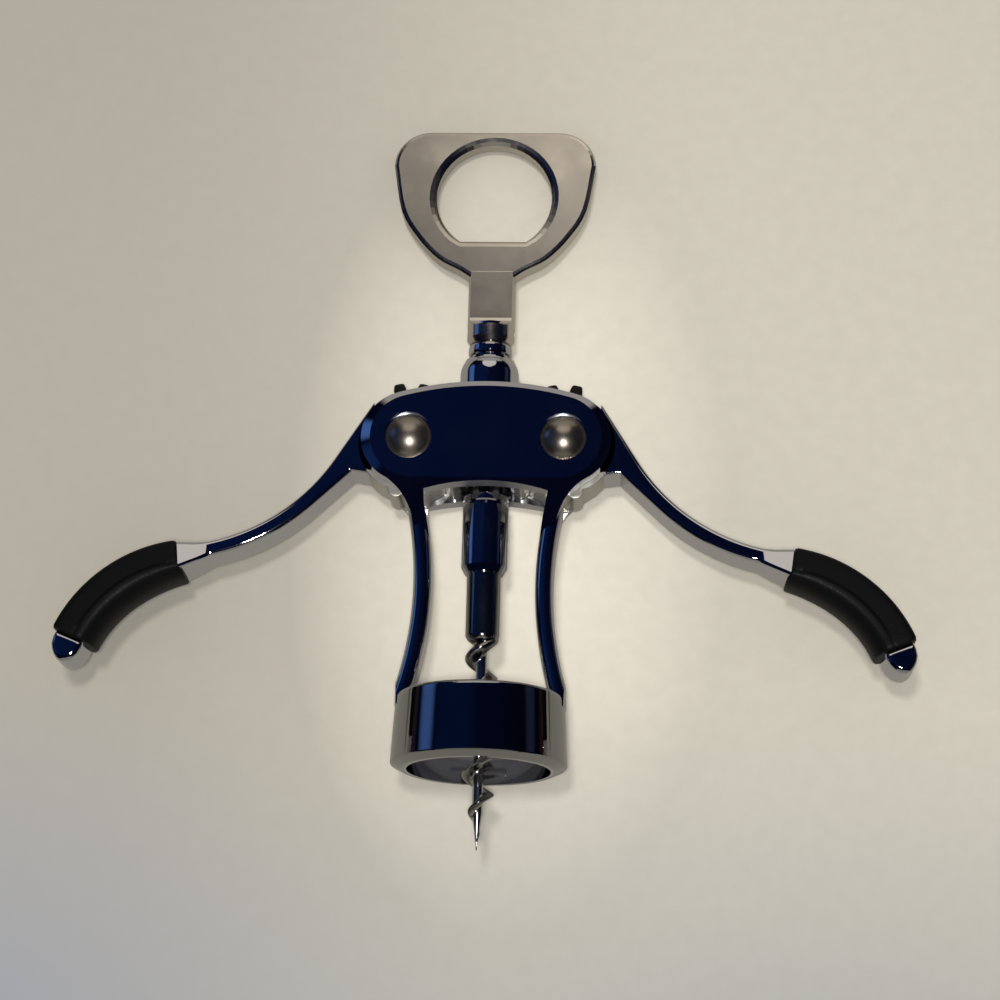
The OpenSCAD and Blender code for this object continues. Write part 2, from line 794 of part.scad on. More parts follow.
// Turn and height of the points across the flight, from one foot over the crest to the other
function flank_turn(k) = sign(k) * [0, 6, 13, 22, 34, 50][abs(k)];
function flank_rise(k) = [1, 0.98, 0.88, 0.62, 0.28, 0][abs(k)];

// Section of the screw at height y, seen from the key: one flight that turns with the height, and the bare core
function screw_ring(y) = let (r = flight_radii(y), turn = flight_phase + 360 * y / flight_pitch) [
    for (k = [-5:5]) heading(turn + flank_turn(k)) * mix(r[0], r[1], flank_rise(k)),
    for (q = [100:32:260]) heading(turn + q) * r[0]
];

module screw_worm() {
    steps_per_turn = 20;
    top = shank_low + 1.5;
    n = round((top - point_y) / flight_pitch * steps_per_turn);
    color(steel) {
        along_axis()
            loft([
                for (i = [0:n])
                    let (y = mix(point_y, top, i / n))
                    [for (q = screw_ring(y)) at(q, y)]
            ]);
        difference() {
            along_axis()
                rotate_extrude($fn = 64)
                    polygon([
                        [0, shank_low], [shank_d / 2 - 1.4, shank_low], [shank_d / 2, shank_low + 1.6],
                        [shank_d / 2, collar_low + shank_depth - 0.2], [0, collar_low + shank_depth - 0.2]
                    ]);
            cross_pin(worm_pin_y, collar_d + 2);
        }
    }
}

module worm_pin() {
    color(steel) cross_pin(worm_pin_y, collar_d - 0.2);
}

// Bead between the rod's shoulder and the key's stem
module stem_ring() {
    edge = 0.9;
    color(chrome)
        along_axis()
            rotate_extrude($fn = 64)
                polygon(concat(
                    [[spigot_d / 2, rod_top], [ring_d / 2 - edge, rod_top]],
                    arc([ring_d / 2 - edge, ring_y + edge], edge, -75, 0, 6),
                    arc([ring_d / 2 - edge, ring_y + ring_h - edge], edge, 0, 75, 6),
                    [[ring_d / 2 - edge, stem_end], [spigot_d / 2, stem_end]]
                ));
}

// Key: a flat handle on a round stem, with flats that run out down the stem
module key_handle() {
    half_w = key_w / 2;
    side = curve([
        [stem_r - 1, key_top - 36.8], [key_w * 0.16, key_top - 34.6], [key_w * 0.27, key_top - 31.7],
        [key_w * 0.375, key_top - 26.4], [key_w * 0.457, key_top - 19.7], [half_w, key_top - key_corner_r]
    ], 4);
    corner = arc([half_w - key_corner_r, key_top - key_corner_r], key_corner_r, 10, 90, 8);
    foot = [stem_r - 3, key_top - 39];
    right = concat([foot], side, corner);
    left = [for (i = [len(right) - 1:-1:0]) [-right[i][0], right[i][1]]];
    chord = asin(hole_flat_drop / (key_hole_d / 2));
    flat_y = stem_end + flat_start;
    flat_z = key_t / 2 + 0.03;
    run_out_r = 2.4;
    run_out = [for (q = [0:18:72]) [flat_y - run_out_r * sin(q), flat_z + run_out_r * (1 - cos(q))]];
    sunk_z = key_t / 2 - 0.6;
    color(satin)
        difference() {
            union() {
                soft_slab(concat(right, left), key_t / 2, key_round);
                intersection() {
                    along_axis()
                        rotate_extrude($fn = 96)
                            polygon([
                                [0, stem_end], [stem_r - 0.7, stem_end], [stem_r, stem_end + 1.2],
                                [stem_r, key_top - 33], [0, key_top - 33]
                            ]);
                    rotate([90, 0, 90])
                        linear_extrude(stem_d + 2, center = true)
                            polygon(concat(
                                [[stem_end - 1, -stem_r - 1], [run_out[4][0], -stem_r - 1]],
                                [for (k = [4:-1:0]) [run_out[k][0], -run_out[k][1]]],
                                [[key_top - 35, -flat_z], [key_top - 32, -sunk_z]],
                                [[key_top - 32, sunk_z], [key_top - 35, flat_z]],
                                run_out,
                                [[run_out[4][0], stem_r + 1], [stem_end - 1, stem_r + 1]]
                            ));
                }
            }
            soft_slab(arc([0, hole_y], key_hole_d / 2, -chord, 180 + chord, 40), key_t / 2 + 0.02, -hole_round);
            translate([0, stem_end - 1, 0]) along_axis()
                cylinder(d = spigot_d, h = spigot_len + 1.2, $fn = 64);
            cross_pin(key_pin_y, stem_d + 2);
        }
}

module key_pin() {
    color(steel) cross_pin(key_pin_y, stem_d - 0.2);
}

frame();
bell_liner();
neck_bush();
left_lever();
right_lever();
left_grip();
right_grip();
left_rivet_tube();
left_rivet_post();
right_rivet_tube();
right_rivet_post();
rack_rod();
screw_worm();
worm_pin();
stem_ring();
key_handle();
key_pin();
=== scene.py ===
import json
import math
import bmesh
import bpy
from mathutils import Matrix, Vector


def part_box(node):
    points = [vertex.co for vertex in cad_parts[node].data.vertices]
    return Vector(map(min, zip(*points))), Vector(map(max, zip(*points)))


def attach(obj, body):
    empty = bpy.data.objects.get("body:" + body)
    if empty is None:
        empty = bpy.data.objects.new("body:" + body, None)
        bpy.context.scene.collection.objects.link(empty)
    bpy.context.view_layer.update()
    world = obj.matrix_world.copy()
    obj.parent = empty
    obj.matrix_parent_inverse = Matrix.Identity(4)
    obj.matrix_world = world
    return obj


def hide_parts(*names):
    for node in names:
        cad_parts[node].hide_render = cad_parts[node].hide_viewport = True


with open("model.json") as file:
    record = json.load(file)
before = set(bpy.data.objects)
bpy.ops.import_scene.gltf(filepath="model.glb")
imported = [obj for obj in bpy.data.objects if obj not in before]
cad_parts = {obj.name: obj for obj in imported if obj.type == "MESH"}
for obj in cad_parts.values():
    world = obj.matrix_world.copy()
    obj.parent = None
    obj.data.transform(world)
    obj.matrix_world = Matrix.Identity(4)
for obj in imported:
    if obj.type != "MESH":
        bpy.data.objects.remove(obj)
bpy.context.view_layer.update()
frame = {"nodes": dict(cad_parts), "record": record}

# ---------------------------------------------------------------------------
# Bell, legs and head. One zinc casting under mirror chrome plate, faintly wavy
# from the buffing wheel, which did not reach under the head's arch. The bell's
# outside is painted darker, a painted shade that dims what it mirrors, and the
# bevel at its mouth is shorter than the blank's.
# ---------------------------------------------------------------------------

PLATE_TINT, BELL_PAINTED_SHADE_TINT = (0.60, 0.61, 0.66), (0.37, 0.375, 0.39)
UNBUFFED_ROUGHNESS = 0.4
BEVEL_TOP, BEVEL_SHARE, BEVEL_EASE = 0.0032, 0.42, 0.008


def new_material(name, base, metallic=0.0):
    material = bpy.data.materials.new(name)
    material.use_nodes = True
    tree = material.node_tree
    tree.nodes.clear()
    output = tree.nodes.new("ShaderNodeOutputMaterial")
    shader = tree.nodes.new("ShaderNodeBsdfPrincipled")
    shader.inputs["Base Color"].default_value = (*base, 1)
    shader.inputs["Metallic"].default_value = metallic
    tree.links.new(shader.outputs["BSDF"], output.inputs["Surface"])
    return material, tree, shader


def grain(tree, scale, stretch=(1, 1, 1), detail=4.0):
    """Noise over the object's own metres, drawn out along an axis by stretch."""
    place = tree.nodes.new("ShaderNodeTexCoord")
    mapping = tree.nodes.new("ShaderNodeMapping")
    mapping.inputs["Scale"].default_value = stretch
    noise = tree.nodes.new("ShaderNodeTexNoise")
    noise.inputs["Scale"].default_value = scale
    noise.inputs["Detail"].default_value = detail
    tree.links.new(place.outputs["Object"], mapping.inputs["Vector"])
    tree.links.new(mapping.outputs["Vector"], noise.inputs["Vector"])
    return noise.outputs["Fac"]


def spread(tree, source, low, high, start=0.35, end=0.65):
    span = tree.nodes.new("ShaderNodeMapRange")
    for name, value in (("From Min", start), ("From Max", end), ("To Min", low), ("To Max", high)):
        span.inputs[name].default_value = value
    tree.links.new(source, span.inputs["Value"])
    return span.outputs["Result"]


def mingle(tree, a, b, share):
    mix = tree.nodes.new("ShaderNodeMix")
    mix.inputs["Factor"].default_value = share
    tree.links.new(a, mix.inputs["A"])
    tree.links.new(b, mix.inputs["B"])
    return mix.outputs["Result"]


def relief(tree, shader, height, distance, strength):
    bump = tree.nodes.new("ShaderNodeBump")
    bump.inputs["Distance"].default_value = distance
    bump.inputs["Strength"].default_value = strength
    tree.links.new(height, bump.inputs["Height"])
    tree.links.new(bump.outputs["Normal"], shader.inputs["Normal"])


def shader_of(material):
    """A material's node tree and its one surface shader."""
    tree = material.node_tree
    return tree, next(node for node in tree.nodes if node.type == "BSDF_PRINCIPLED")


def plated(name, tint, low, high, wave, wheel, lay=(1.0, 0.12, 1.0)):
    """Plated metal: roughness from low to high in clouds, slow waves, and wheel marks along lay."""
    material, tree, shader = new_material(name, tint, 1.0)
    tree.links.new(spread(tree, grain(tree, 90.0, detail=6.0), low, high), shader.inputs["Roughness"])
    height = mingle(tree, grain(tree, 55.0, detail=1.0), grain(tree, 1600.0, lay, 2.0), wheel)
    relief(tree, shader, height, 0.0004, wave)
    return material


def along(tree, axis, output="Object"):
    """One axis of the place on the object, in metres, or of another of its outputs."""
    place = tree.nodes.new("ShaderNodeTexCoord")
    split = tree.nodes.new("ShaderNodeSeparateXYZ")
    tree.links.new(place.outputs[output], split.inputs["Vector"])
    return split.outputs[axis]


def axis_distance(tree):
    """Millimetres out from the screw axis."""
    place = tree.nodes.new("ShaderNodeTexCoord")
    flat = tree.nodes.new("ShaderNodeVectorMath")
    flat.operation = "MULTIPLY"
    flat.inputs[1].default_value = (1000, 0, 1000)
    length = tree.nodes.new("ShaderNodeVectorMath")
    length.operation = "LENGTH"
    tree.links.new(place.outputs["Object"], flat.inputs[0])
    tree.links.new(flat.outputs["Vector"], length.inputs[0])
    return length.outputs["Value"]


def worked(tree, operation, a, b):
    """Two shares made into one by a sum's operation."""
    both = tree.nodes.new("ShaderNodeMath")
    both.operation = operation
    tree.links.new(a, both.inputs[0])
    tree.links.new(b, both.inputs[1])
    return both.outputs["Value"]


def stain(tree, under, over, share):
    """The colour over laid on the colour under, each a plain colour or a node's."""
    mix = tree.nodes.new("ShaderNodeMix")
    mix.data_type = "RGBA"
    for socket, colour in (("A", under), ("B", over)):
        if isinstance(colour, tuple):
            mix.inputs[socket].default_value = (*colour, 1)
        else:
            tree.links.new(colour, mix.inputs[socket])
    tree.links.new(share, mix.inputs["Factor"])
    return mix.outputs["Result"]


def dress(node, material):
    slots = frame["nodes"][node].data.materials
    slots.clear()
    slots.append(material)


plate = plated("mirror_plate", PLATE_TINT, 0.02, 0.055, 0.05, 0.1)

casting = plated("frame_plate", PLATE_TINT, 0.02, 0.055, 0.05, 0.1)
tree, shader = shader_of(casting)
buffed = shader.inputs["Roughness"].links[0].from_socket
facing_down = spread(tree, along(tree, "Y", "Normal"), 0.0, 1.0, -0.6, -0.85)
in_arch = spread(tree, along(tree, "Y"), 0.0, 1.0, 0.044, 0.050)
mix = tree.nodes.new("ShaderNodeMix")
mix.inputs["B"].default_value = UNBUFFED_ROUGHNESS
tree.links.new(buffed, mix.inputs["A"])
tree.links.new(worked(tree, "MULTIPLY", facing_down, in_arch), mix.inputs["Factor"])
tree.links.new(mix.outputs["Result"], shader.inputs["Roughness"])
# The bell's outside gets the darker tint, a painted shade; above it and inside its bore the plain plate tint.
above_bell = spread(tree, along(tree, "Y"), 0.0, 1.0, 0.014, 0.020)
inside_bell = spread(tree, axis_distance(tree), 1.0, 0.0, 15.8, 16.2)
tint = stain(tree, BELL_PAINTED_SHADE_TINT, PLATE_TINT, worked(tree, "MAXIMUM", above_bell, inside_bell))
tree.links.new(tint, shader.inputs["Base Color"])

shell = frame["nodes"]["frame"].data.copy()
shell.name = "frame_casting"
normals = [corner.vector.copy() for corner in shell.corner_normals]
for face in shell.polygons:
    if all(shell.vertices[i].co.y < BEVEL_TOP + 1e-5 for i in face.vertices):
        for i in face.loop_indices:
            normals[i] = Vector((normals[i].x, normals[i].y / BEVEL_SHARE, normals[i].z)).normalized()
for vert in shell.vertices:
    y = vert.co.y
    if y < BEVEL_TOP:
        vert.co.y = y * BEVEL_SHARE
    elif y < BEVEL_EASE:
        stretch = (BEVEL_EASE - BEVEL_TOP * BEVEL_SHARE) / (BEVEL_EASE - BEVEL_TOP)
        vert.co.y = BEVEL_EASE - (BEVEL_EASE - y) * stretch
shell.normals_split_custom_set(normals)
shell.materials.clear()
shell.materials.append(casting)
piece = bpy.data.objects.new("frame_casting", shell)
bpy.context.scene.collection.objects.link(piece)
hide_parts("frame")
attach(piece, "frame")

# ---------------------------------------------------------------------------
# Guide disc in the bell. Grey moulded plastic, matt, pressed in from below.
# ---------------------------------------------------------------------------

material, tree, shader = new_material("guide_plastic", (0.64, 0.63, 0.63))
mould = grain(tree, 300.0, detail=6.0)
tree.links.new(spread(tree, mould, 0.42, 0.58), shader.inputs["Roughness"])
relief(tree, shader, mould, 0.0002, 0.2)
dress("bell_liner", material)

# ---------------------------------------------------------------------------
# Levers. Cast and chromed: a hub with involute teeth and a lug, a fan that
# narrows into the bowed arm, a flare that meets the grip, and a rounded tip.
# The teeth are light metal low down, where they show under the arch, and painted
# black higher up, a painted shade between the plates.
# ---------------------------------------------------------------------------

MM = 0.001
JOINTS = {joint["name"]: joint for joint in frame["record"]["behaviour"]["joints"]}
PIVOT = Vector(JOINTS["right_wing_pivot"]["pos_m"])
LEVER_HALF = 5.0
GEAR_R, TEETH, ADDENDUM, TIP_EASE = 13.1025, 15, 0.8, 0.5
ROOT_R = 11.5525
PRESSURE = math.radians(20)
FLANK_PLAY = 0.08
MESH_PHASE, TOOTH_STEP = 6, 24
BORE_R = 3.1
LUG_ANGLE, LUG_R, LUG_REACH = -76, 1.8, 13.0
BLANK_R, BLANK_START = 12.8, 253
FAN_TOP, FAN_FOOT = Vector((8.3, 9.4)), Vector((6.0, -7.8))
ROOT_LEN, ROOT_ANGLE, CORNER_W = 16.0, -58.0, 4.9
ARM_R, ARM_W, GRIP_ANGLE = 43.0, 3.4, -8.0
EDGE = 0.9
FLARE_LEN, FLARE_DEPTH, FLARE_OUT, FLARE_W = 6.6, 0.8, 0.9, 3.0
FLARE_LEAN, FLARE_BREAK = 0.2, 2.2
RUBBER_T, GRIP_R, GRIP_TURN = 1.2, 33.0, 60.0


def heading(degrees):
    return Vector((math.cos(math.radians(degrees)), math.sin(math.radians(degrees))))


def inward(degrees):
    return Vector((math.sin(math.radians(degrees)), -math.cos(math.radians(degrees))))


def new_piece(name, mesh, materials, body, node):
    """A finished piece that stands for a node, dressed, and riding on the node's body."""
    piece = bpy.data.objects.new(name, mesh)
    bpy.context.scene.collection.objects.link(piece)
    for material in materials:
        mesh.materials.append(material)
    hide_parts(node)
    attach(piece, body)


def loft(bm, rings):
    """A closed skin through rings of points with as many points each, fanned shut at its ends."""
    verts = [[bm.verts.new(point) for point in ring] for ring in rings]
    n = len(verts[0])
    for a, b in zip(verts, verts[1:]):
        for i in range(n):
            k = (i + 1) % n
            bm.faces.new((a[i], a[k], b[k], b[i]))
    for ring, flip in ((verts[0], True), (verts[-1], False)):
        middle = bm.verts.new(sum((v.co for v in ring), Vector()) / n)
        for i in range(n):
            k = (i + 1) % n
            bm.faces.new((ring[k], ring[i], middle) if flip else (ring[i], ring[k], middle))


def pressed(bm, outlines, half, edge, steps):
    """A flat plate cut to outlines, the first its rim and the rest holes, with its edges rounded."""
    curve = bpy.data.curves.new("cutting", "CURVE")
    curve.dimensions = "2D"
    curve.fill_mode = "BOTH"
    curve.extrude = (half - edge) * MM
    curve.bevel_depth = edge * MM
    curve.bevel_resolution = steps
    curve.offset = -edge * MM
    for outline in outlines:
        spline = curve.splines.new("POLY")
        spline.points.add(len(outline) - 1)
        for point, place in zip(spline.points, outline):
            point.co = (place[0] * MM, place[1] * MM, 0, 1)
        spline.use_cyclic_u = True
    cutting = bpy.data.objects.new("cutting", curve)
    mesh = bpy.data.meshes.new_from_object(cutting)
    bm.from_mesh(mesh)
    bpy.data.objects.remove(cutting)
    bpy.data.meshes.remove(mesh)
    bpy.data.curves.remove(curve)


def shaded(bm, name, sharp=40):
    """The mesh, smooth over its rounded edges and true over its flats."""
    bmesh.ops.remove_doubles(bm, verts=bm.verts, dist=0.000002)
    bmesh.ops.recalc_face_normals(bm, faces=bm.faces)
    for face in bm.faces:
        face.smooth = True
    for edge in bm.edges:
        edge.smooth = edge.is_manifold and edge.calc_face_angle(0) < math.radians(sharp)
    mesh = bpy.data.meshes.new(name)
    bm.to_mesh(mesh)
    bm.free()
    thing = bpy.data.objects.new(name, mesh)
    bpy.context.scene.collection.objects.link(thing)
    weigh = thing.modifiers.new("weigh", "WEIGHTED_NORMAL")
    weigh.keep_sharp = True
    done = bpy.data.meshes.new_from_object(thing.evaluated_get(bpy.context.evaluated_depsgraph_get()))
    bpy.data.objects.remove(thing)
    bpy.data.meshes.remove(mesh)
    done.name = name
    return done


def involute(angle):
    return math.tan(angle) - angle


def tooth_half(r):
    base = GEAR_R * math.cos(PRESSURE)
    narrow = involute(PRESSURE) - involute(math.acos(base / max(r, base)))
    return 90 / TEETH + math.degrees(narrow - FLANK_PLAY / GEAR_R)


def hub_outline():
    base = GEAR_R * math.cos(PRESSURE)
    top = GEAR_R + ADDENDUM
    radii = [ROOT_R] + [base + (top - TIP_EASE - base) * k / 8 for k in range(9)]
    flank = [(r, tooth_half(r)) for r in radii]
    eased = tooth_half(top - TIP_EASE)
    for turn in (math.radians(q) for q in (30, 60, 90)):
        flank.append((top - TIP_EASE * (1 - math.sin(turn)), eased * (0.42 + 0.58 * math.cos(turn))))
    points = []
    for i in range(4, -3, -1):
        centre = 180 - MESH_PHASE - i * TOOTH_STEP
        points += [r * heading(centre - half) for r, half in flank]
        points += [r * heading(centre + half) for r, half in reversed(flank)]
    points += [ROOT_R * heading(a) for a in range(235, BLANK_START, 6)]
    points += [BLANK_R * heading(a) for a in range(BLANK_START, 360 + LUG_ANGLE - 8, 3)]
    lug = (LUG_REACH - LUG_R) * heading(LUG_ANGLE)
    points += [lug + LUG_R * heading(LUG_ANGLE + a) for a in range(-70, 91, 16)]
    points += [ROOT_R * heading(a) for a in range(-62, 61, 4)]
    return points


def rounded_section(outer, inner, half, edge, lean=0.0, steps=5):
    """Ring round a bar from its outer to its inner edge point, thicker by lean towards the inner."""
    run = (inner - outer).normalized()
    width = (inner - outer).length
    ring = []
    for z, w, start in ((half - edge, width - edge, 0), (edge - half, width - edge, 90),
                        (edge - half, edge, 180), (half - edge, edge, 270)):
        for k in range(steps + 1):
            turn = math.radians(start + 90 * k / steps)
            reach = w + edge * math.sin(turn)
            place = outer + run * reach
            deeper = lean * (reach - width / 2) * (1 if z > 0 else -1)
            ring.append(Vector((place.x, place.y, z + edge * math.cos(turn) + deeper)))
    return ring


def arm_rings():
    start = FAN_TOP + ROOT_LEN * heading(ROOT_ANGLE)
    corner = start + CORNER_W * inward(ROOT_ANGLE)
    rings = [rounded_section(FAN_TOP.lerp(start, t), FAN_FOOT.lerp(corner, t), LEVER_HALF, EDGE)
             for t in (k / 12 for k in range(12))]
    centre = start + ARM_R * heading(ROOT_ANGLE + 90)
    bend = math.radians(GRIP_ANGLE - ROOT_ANGLE) * ARM_R
    for k in range(0, 61):
        s = (bend + 3) * k / 60
        a = ROOT_ANGLE + math.degrees(min(s, bend) / ARM_R)
        outer = centre + ARM_R * heading(a - 90) + max(0, s - bend) * heading(a)
        left = bend + 3 - s
        f = max(0, 1 - left / FLARE_LEN)
        lean = FLARE_LEAN * min(1, max(0, (FLARE_LEN - left) / FLARE_BREAK))
        width = ARM_W + (CORNER_W - ARM_W) * max(0, 1 - s / 11) ** 2 + FLARE_W * f
        outer = outer - FLARE_OUT * f * inward(a)
        rings.append(rounded_section(outer, outer + width * inward(a), LEVER_HALF + FLARE_DEPTH * f, EDGE, lean))
    return rings, centre + ARM_R * heading(GRIP_ANGLE - 90)


def set_down(bm, first=0):
    """Moves the points made since first from pivot millimetres to where the right lever is."""
    bm.verts.ensure_lookup_table()
    for vert in bm.verts[first:]:
        vert.co = Vector((vert.co.x * MM, vert.co.y * MM, vert.co.z * MM)) + PIVOT


rings, arm_end = arm_rings()
grip_start = arm_end + 3 * heading(GRIP_ANGLE) - RUBBER_T * inward(GRIP_ANGLE)
grip_centre = grip_start + GRIP_R * inward(GRIP_ANGLE)
grip_end_angle = GRIP_ANGLE - GRIP_TURN
tip_start = grip_centre + GRIP_R * heading(grip_end_angle + 90)
TIP = ((-0.3, 0.9), (-0.3, 7.6), (1.4, 7.8), (2.9, 7.6), (4.2, 7.0), (5.2, 6.1),
       (5.7, 5.0), (5.6, 3.8), (5.0, 2.8), (4.1, 1.9), (3.0, 1.2), (1.5, 0.85))
TIP_HALF, TIP_EDGE = 5.2, 1.3

teeth_shade_plate = plated("teeth_painted_shade", (0.30, 0.29, 0.28), 0.36, 0.46, 0.06, 0.2)
tree, shader = shader_of(teeth_shade_plate)
# Light metal below 0.066 m, black above 0.076 m: the black is a painted shade between the plates.
tint = stain(tree, (0.66, 0.64, 0.58), (0.03, 0.028, 0.026), spread(tree, along(tree, "Y"), 0.0, 1.0, 0.066, 0.076))
tree.links.new(tint, shader.inputs["Base Color"])
for side in ("right", "left"):
    bm = bmesh.new()
    loft(bm, rings)
    set_down(bm)
    made, cast = len(bm.verts), len(bm.faces)
    pressed(bm, [hub_outline(), [BORE_R * heading(a) for a in range(0, 360, 9)]], LEVER_HALF, 0.18, 2)
    bm.faces.ensure_lookup_table()
    for face in bm.faces[cast:]:
        face.material_index = 1
    tip = [tip_start + u * heading(grip_end_angle) + v * inward(grip_end_angle) for u, v in TIP]
    pressed(bm, [tip], TIP_HALF, TIP_EDGE, 5)
    bm.verts.ensure_lookup_table()
    for vert in bm.verts[made:]:
        vert.co += PIVOT
    if side == "left":
        bmesh.ops.scale(bm, vec=(-1, 1, 1), verts=bm.verts)
    name = f"{side}_lever_casting"
    new_piece(name, shaded(bm, name), (plate, teeth_shade_plate), f"{side}_wing", f"{side}_lever")

# ---------------------------------------------------------------------------
# Grips. Black rubber sleeves moulded on the levers' tangs, flat at the back
# and sides, with a groove along each side where the rounded belly begins.
# ---------------------------------------------------------------------------

GRIP_HALF, GRIP_SIDE, GRIP_W, GRIP_CORNER = 6.5, 5.4, 9.6, 1.8
GROOVE_W, GROOVE_D = 0.45, 0.35
BELLY_SLIM, BELLY_LEAD = 1.5, 1.8
END_LEN, END_SHRINK = 0.9, 0.7

rubber, tree, shader = new_material("grip_rubber", (0.0035, 0.0038, 0.0043))
shader.inputs["Specular IOR Level"].default_value = 0.08
skin = grain(tree, 2600.0, detail=3.0)
tree.links.new(spread(tree, skin, 0.34, 0.48), shader.inputs["Roughness"])
relief(tree, shader, skin, 0.00008, 0.22)


def grip_section(shrink, groove, slim):
    """Half of the sleeve's outline, from the middle of its back to that of its slimmed belly."""
    half = GRIP_HALF - shrink
    points = [(0.0, shrink), (half * 0.5, shrink)]
    for k in range(7):
        turn = math.radians(15 * k)
        points.append((half - GRIP_CORNER * (1 - math.sin(turn)), shrink + GRIP_CORNER * (1 - math.cos(turn))))
    points += [(half, GRIP_CORNER + (GRIP_SIDE - GRIP_CORNER) * t) for t in (0.35, 0.7)]
    low = GRIP_SIDE + GROOVE_W * 0.6
    points += [(half, GRIP_SIDE - GROOVE_W), (half - groove, GRIP_SIDE - GROOVE_W / 2),
               (half - groove * 0.9, GRIP_SIDE), (half - 0.02, low)]
    belly = GRIP_W - low - shrink - slim
    for turn in (math.radians(q) for q in range(9, 90, 9)):
        points.append((half * math.cos(turn) ** 0.8, low + belly * math.sin(turn) ** 0.9))
    return points + [(0.0, GRIP_W - shrink - slim)]


def grip_rings():
    """The sleeve's rings from the arm to the tip, the two past each end drawn in to round it."""
    n = 44
    ease = math.degrees(END_LEN / GRIP_R)
    rings = []
    for t in range(-2, n + 3):
        share = min(max(t, 0), n) / n
        a = GRIP_ANGLE - ease - (GRIP_TURN - 2 * ease) * share
        turn = math.radians(45 * max(-t, t - n, 0))
        a += ease * math.sin(turn) * (1 if t < 0 else -1)
        shrink = END_SHRINK * (1 - math.cos(turn))
        groove = GROOVE_D * min(1.0, 6 * share * (1 - share) + 0.15)
        near_arm = (1 - share) ** 4
        half = grip_section(shrink, groove, BELLY_SLIM * near_arm)
        outline = half + [(-z, w) for z, w in reversed(half[1:-1])]
        place = grip_centre + GRIP_R * heading(a + 90)
        ring = []
        for z, w in outline:
            lead = BELLY_LEAD * near_arm * max(0, w - GRIP_SIDE) / (GRIP_W - GRIP_SIDE)
            spot = place + w * inward(a) - lead * heading(a)
            ring.append(Vector((spot.x, spot.y, z)))
        rings.append(ring)
    return rings


sleeve = grip_rings()
for side in ("right", "left"):
    bm = bmesh.new()
    loft(bm, sleeve)
    set_down(bm)
    if side == "left":
        bmesh.ops.scale(bm, vec=(-1, 1, 1), verts=bm.verts)
    name = f"{side}_grip_sleeve"
    new_piece(name, shaded(bm, name, 32), (rubber,), f"{side}_wing", f"{side}_grip")

# ---------------------------------------------------------------------------
# Pivot rivets. Domed steel in two halves, tumbled to a soft shine.
# ---------------------------------------------------------------------------

tumbled = plated("tumbled_plate", (0.41, 0.37, 0.32), 0.25, 0.33, 0.12, 0.3)
for side in ("left", "right"):
    for half in ("tube", "post"):
        dress(f"{side}_rivet_{half}", tumbled)

# ---------------------------------------------------------------------------
# Neck bush, rack rod and ring bead. Turned on a lathe and plated, with the
# finest of turning marks round them. The bush stands straight on the head and
# rounds over to the stem.
# ---------------------------------------------------------------------------

BUSH_FOOT_R, BUSH_WALL_R, BUSH_BORE_R, SPIGOT_R = 6.55, 6.54, 5.4, 6.0
BUSH_H, SHOULDER_Y, SHOULDER_H, SHOULDER_IN = 8, 4.6, 3.3, 1.8


def lathed(profile, sides=96):
    """A profile of (radius, height) points in millimetres, turned round the screw axis."""
    bm = bmesh.new()
    rows = []
    for k in range(sides):
        turn = 2 * math.pi * k / sides
        side, front = math.cos(turn) * MM, math.sin(turn) * MM
        rows.append([bm.verts.new((r * side, y * MM, r * front)) for r, y in profile])
    for a, b in zip(rows, rows[1:] + rows[:1]):
        for i in range(len(profile)):
            k = (i + 1) % len(profile)
            bm.faces.new((a[i], b[i], b[k], a[k]))
    return bm


turned = plated("turned_plate", PLATE_TINT, 0.03, 0.07, 0.05, 0.35, lay=(0.05, 1.0, 0.05))
for name in ("rack_rod", "stem_ring"):
    dress(name, turned)

low, high = (corner.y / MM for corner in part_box("neck_bush"))
seat = high - BUSH_H
profile = [(BUSH_BORE_R, low + 0.1), (SPIGOT_R, low + 0.1), (SPIGOT_R, seat), (BUSH_FOOT_R, seat),
           (BUSH_WALL_R, seat + SHOULDER_Y)]
for turn in (math.radians(q) for q in range(6, 61, 6)):
    profile.append((BUSH_WALL_R - SHOULDER_IN * (1 - math.cos(turn)), seat + SHOULDER_Y + SHOULDER_H * math.sin(turn)))
profile += [(BUSH_BORE_R + 0.12, high - 0.02), (BUSH_BORE_R, high - 0.02)]
mesh = shaded(lathed(profile), "neck_bush_turning", 30)
new_piece("neck_bush_turning", mesh, (turned,), "neck_bush", "neck_bush")

# ---------------------------------------------------------------------------
# Screw and cross pins. The worm is one bright steel casting: a shank, and a
# core with a single flight that runs out at its point.
# ---------------------------------------------------------------------------

SHANK_R, CORE_R, FLIGHT_R, PITCH_MM, PHASE = 3.7, 1.15, 3.6, 8.5, 222
FLIGHT_LEN, POINT_LEN = 39.0, 5.9
steel = plated("bright_steel", (0.60, 0.59, 0.57), 0.08, 0.16, 0.012, 0.2)
for name in ("worm_pin", "key_pin"):
    dress(name, steel)
worm_painted_light = plated("worm_steel_painted_light", (0.60, 0.59, 0.57), 0.08, 0.16, 0.012, 0.2)
tree, shader = shader_of(worm_painted_light)
# Base colour by distance from the axis: a light core, a dark flight and a mid-dark shank; the core's light is a
# painted highlight and the flight's dark a painted shade.
ramp = tree.nodes.new("ShaderNodeValToRGB")
core, flight = ramp.color_ramp.elements
core.position, core.color = 0.3, (0.66, 0.65, 0.62, 1)
flight.position, flight.color = 0.52, (0.13, 0.12, 0.11, 1)
shank = ramp.color_ramp.elements.new(0.9)
shank.color = (0.40, 0.39, 0.37, 1)
tree.links.new(spread(tree, axis_distance(tree), 0.0, 1.0, 0.0, 4.0), ramp.inputs["Fac"])
tree.links.new(ramp.outputs["Color"], shader.inputs["Base Color"])
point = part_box("screw_worm")[0].y / MM
shank_low = point + POINT_LEN + FLIGHT_LEN
shank_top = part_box("screw_worm")[1].y / MM


